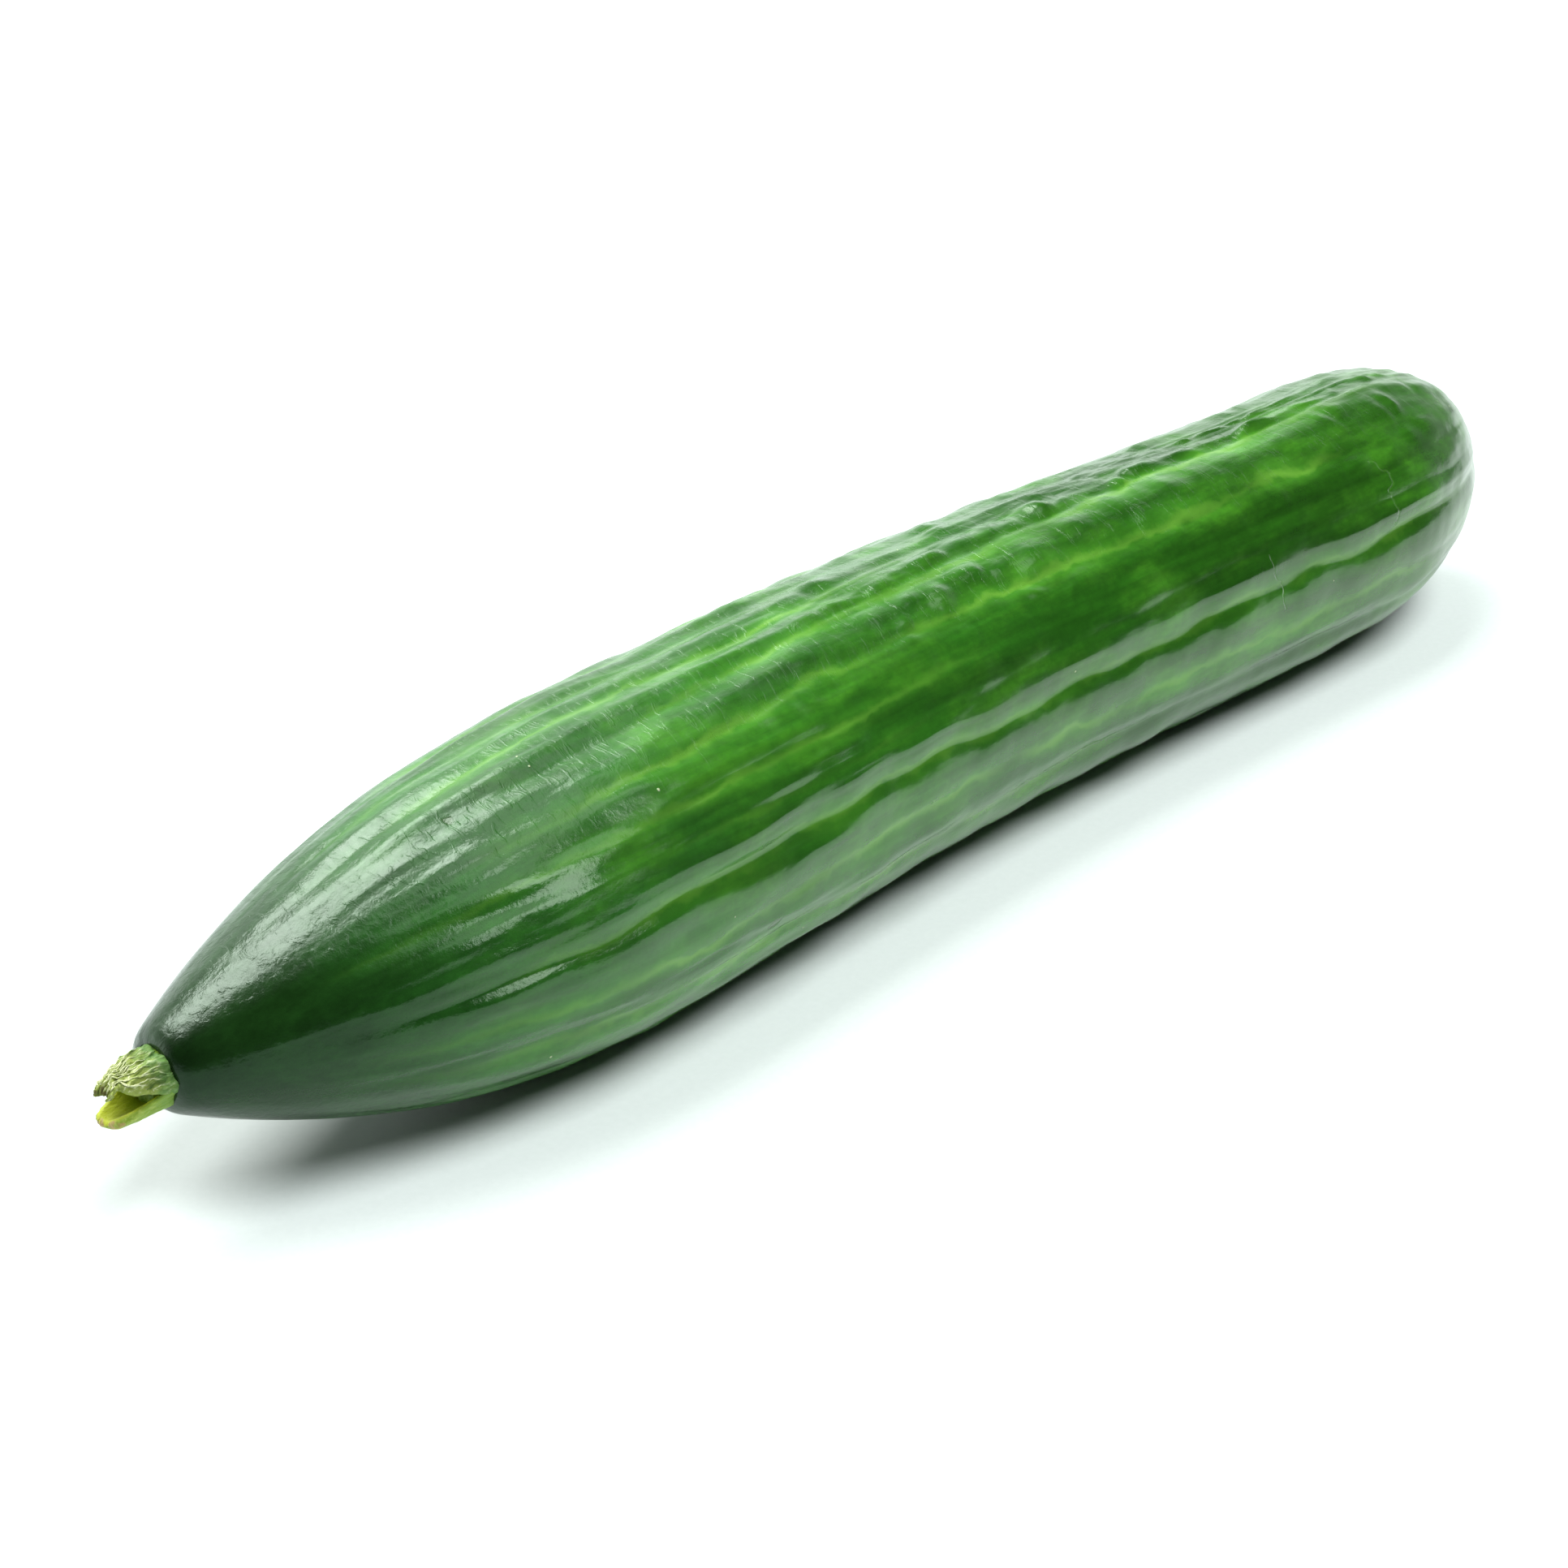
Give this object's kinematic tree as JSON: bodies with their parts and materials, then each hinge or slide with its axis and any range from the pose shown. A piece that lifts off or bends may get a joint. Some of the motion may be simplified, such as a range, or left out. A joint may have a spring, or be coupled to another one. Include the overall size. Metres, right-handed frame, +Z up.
{
  "type": "cucumber",
  "caption": "Long slicing cucumber lying on its side: gently ribbed dark green fruit with a tapered neck, rounded blossom end and the split pale stub of its stalk.",
  "frame": {"origin": "middle of the footprint, on the surface that the cucumber lies on", "axes": "+X along the fruit from the stalk to the blossom end, +Z up, +Y to the left seen from the stalk"},
  "size_m": [0.3118, 0.0512, 0.0478],
  "materials": {
    "skin": "waxy dark green skin with pale yellow-green lines, semi-gloss",
    "stalk": "fibrous pale yellow-green stalk, matte"
  },
  "bodies": {
    "root": {"fruit": "skin", "stem_stub": "stalk"}
  },
  "joints": []
}
